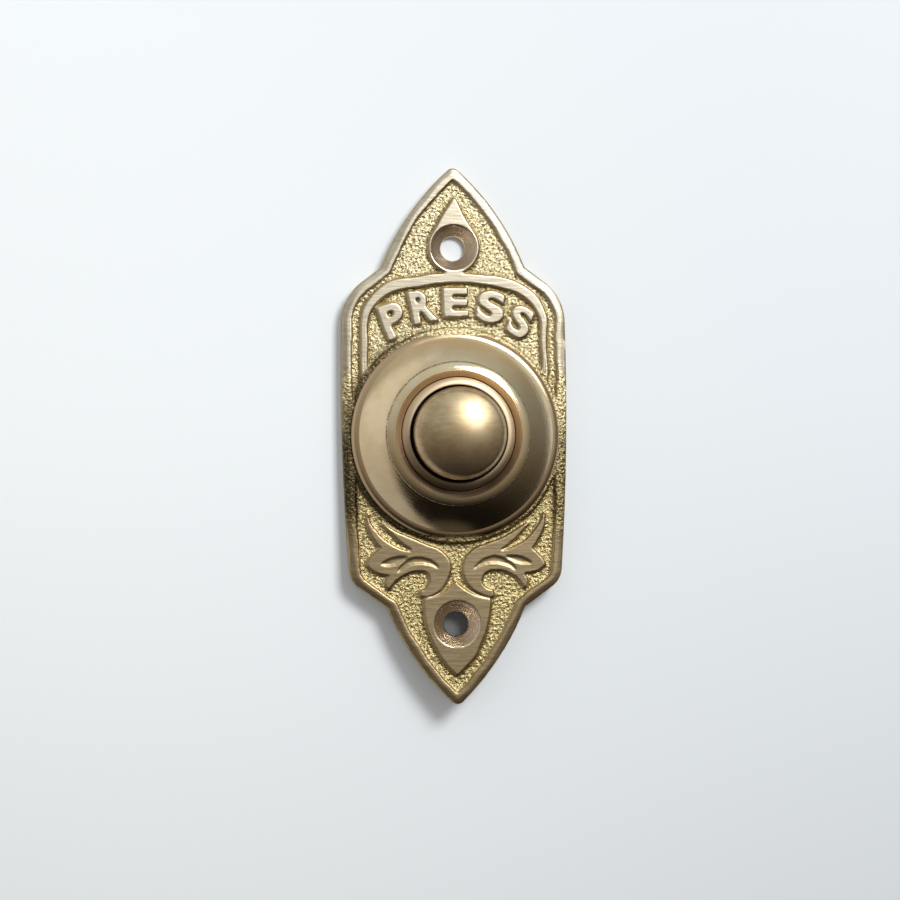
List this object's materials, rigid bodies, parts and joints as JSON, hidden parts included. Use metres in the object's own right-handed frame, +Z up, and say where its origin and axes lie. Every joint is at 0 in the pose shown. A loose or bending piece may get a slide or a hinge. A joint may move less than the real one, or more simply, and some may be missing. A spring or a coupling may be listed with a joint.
{
  "type": "doorbell push button",
  "caption": "Cast brass bell push with a pointed ornamental plate, a turned collar and a sprung domed button that closes a pair of contacts.",
  "frame": {"origin": "on the button's axis at the plate's back face", "axes": "+Z up along the plate's length, front facing -Y, +Y into the wall"},
  "size_m": [0.0406, 0.0147, 0.0962],
  "materials": {
    "cast_brass": "sand-cast ground, linished relief, brown in the corners",
    "turned_brass": "turned and polished",
    "satin_brass": "satin, worn by fingers",
    "contact_brass": "plain strip",
    "screw_brass": "turned",
    "spring_steel": "drawn wire",
    "black_moulding": "moulded, slightly glossy",
    "fibre": "vulcanised fibre"
  },
  "bodies": {
    "housing": {"plate": "cast_brass", "collar": "turned_brass", "bush": "turned_brass", "base": "black_moulding", "return_spring": "spring_steel", "contact_left": "contact_brass", "contact_right": "contact_brass", "terminal_screws": "screw_brass", "terminal_washers": "screw_brass", "terminal_nuts": "screw_brass", "base_screws": "screw_brass"},
    "plunger": {"button": "satin_brass", "bridge_insulator": "fibre", "contact_bridge": "contact_brass"}
  },
  "joints": [
    {"name": "button_press", "type": "slide", "parent": "housing", "child": "plunger", "axis": [0, 1, 0], "range_m": [0, 0.0018], "stiffness_N_per_m": 500, "springref_m": -0.004, "deforming": ["return_spring"]}
  ]
}
